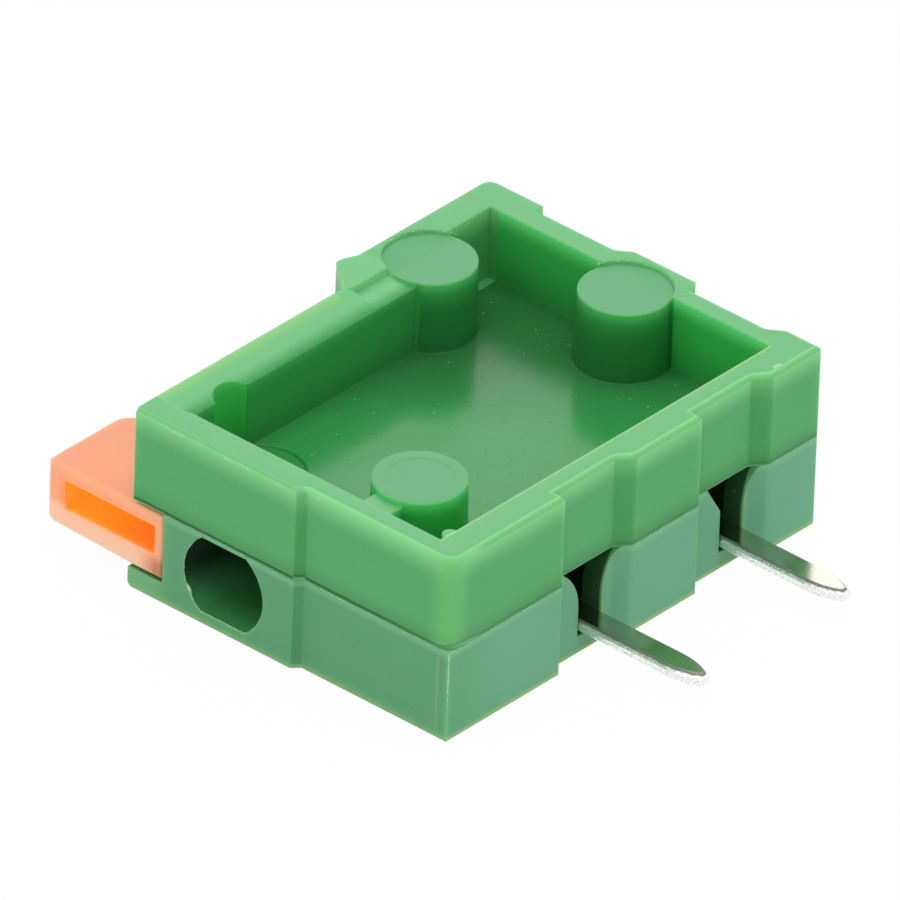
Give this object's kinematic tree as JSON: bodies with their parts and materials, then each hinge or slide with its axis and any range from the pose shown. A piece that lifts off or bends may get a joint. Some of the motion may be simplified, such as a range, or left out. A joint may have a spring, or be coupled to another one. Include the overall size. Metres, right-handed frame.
{
  "type": "pcb spring terminal block",
  "caption": "One-pole spring terminal block for a circuit board: green two-part housing with an open tray on its side, orange rocker button, round wire funnel and two solder pins.",
  "frame": {"origin": "centre of the housing's closed flat side, on which the pole lies", "axes": "+Z across the pole from the closed side to the open tray, +X from the top of the housing down to the circuit board, +Y from the wire face to the back; the wire goes in along +Y"},
  "size_m": [0.0156, 0.0132, 0.0049],
  "materials": {
    "shell_plastic": "moulded polyamide, bluish green, fine matt skin",
    "cover_plastic": "moulded polyamide, leaf green, satin",
    "button_plastic": "moulded polyamide, orange, slightly translucent",
    "tinned_contact": "tin-plated copper alloy, sheared edges",
    "spring_steel": "stainless spring steel"
  },
  "bodies": {
    "housing": {"housing_shell": "shell_plastic", "housing_cover": "cover_plastic", "contact_frame": "tinned_contact", "clamp_spring": "spring_steel"},
    "button": {"release_button": "button_plastic"}
  },
  "joints": [
    {"name": "button_pivot", "type": "hinge", "parent": "housing", "child": "button", "pos_m": [-0.0043, -0.00585, 0], "axis": [0, 0, 1], "range_deg": [-12, 0], "stiffness_Nm_per_rad": 0.004, "springref_deg": 20.05, "deforming": ["clamp_spring"]}
  ]
}
